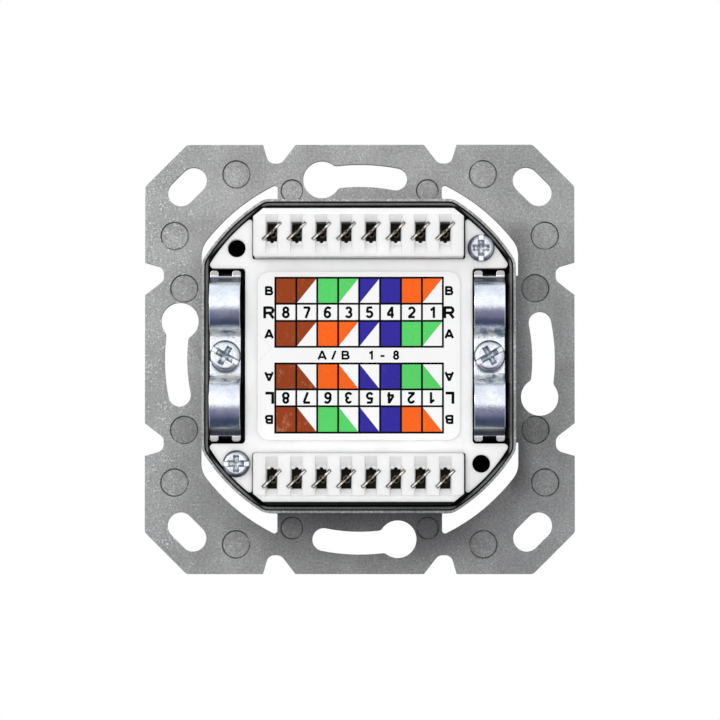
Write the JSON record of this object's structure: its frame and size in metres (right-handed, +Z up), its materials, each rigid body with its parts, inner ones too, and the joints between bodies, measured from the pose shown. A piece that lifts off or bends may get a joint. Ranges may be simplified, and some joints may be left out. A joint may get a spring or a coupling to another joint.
{
  "type": "two-port ethernet wall outlet insert",
  "caption": "Flush data outlet insert: die-cast frame with slanted front sockets, wired from behind at punch-down terminals with cable clamps.",
  "frame": {"origin": "centre of the flange's rear face, the face that bears on the wall", "axes": "+Y into the wall, the front looks to -Y, +Z up, +X to the right as seen from the room"},
  "size_m": [0.071, 0.0312, 0.071],
  "materials": {
    "zinc_casting": "matte zinc die casting",
    "white_moulding": "white moulded plastic",
    "printed_label": "white satin label with a colour code",
    "board": "green solder mask",
    "tinned_blade": "tinned bronze",
    "zinc_plated_strap": "bright zinc plate with a blue cast",
    "zinc_plated_screw": "bright zinc plate",
    "dark_moulding": "black moulded plastic",
    "tinned_sheet": "tinned sheet",
    "gold_contact": "gold plated wire"
  },
  "bodies": {
    "root": {"cable_clamp_left": "zinc_plated_strap", "cable_clamp_right": "zinc_plated_strap", "circuit_board": "board", "clamp_screw_left": "zinc_plated_screw", "clamp_screw_right": "zinc_plated_screw", "code_label": "printed_label", "contact_blade_lower_1": "tinned_blade", "contact_blade_lower_2": "tinned_blade", "contact_blade_lower_3": "tinned_blade", "contact_blade_lower_4": "tinned_blade", "contact_blade_lower_5": "tinned_blade", "contact_blade_lower_6": "tinned_blade", "contact_blade_lower_7": "tinned_blade", "contact_blade_lower_8": "tinned_blade", "contact_blade_upper_1": "tinned_blade", "contact_blade_upper_2": "tinned_blade", "contact_blade_upper_3": "tinned_blade", "contact_blade_upper_4": "tinned_blade", "contact_blade_upper_5": "tinned_blade", "contact_blade_upper_6": "tinned_blade", "contact_blade_upper_7": "tinned_blade", "contact_blade_upper_8": "tinned_blade", "cover_screw_lower": "zinc_plated_screw", "cover_screw_upper": "zinc_plated_screw", "mounting_frame": "zinc_casting", "socket_body_left": "dark_moulding", "socket_body_right": "dark_moulding", "socket_contacts_left": "gold_contact", "socket_contacts_right": "gold_contact", "socket_shield_left": "tinned_sheet", "socket_shield_right": "tinned_sheet", "terminal_strip_lower": "white_moulding", "terminal_strip_upper": "white_moulding", "wiring_cover": "white_moulding"}
  },
  "joints": []
}
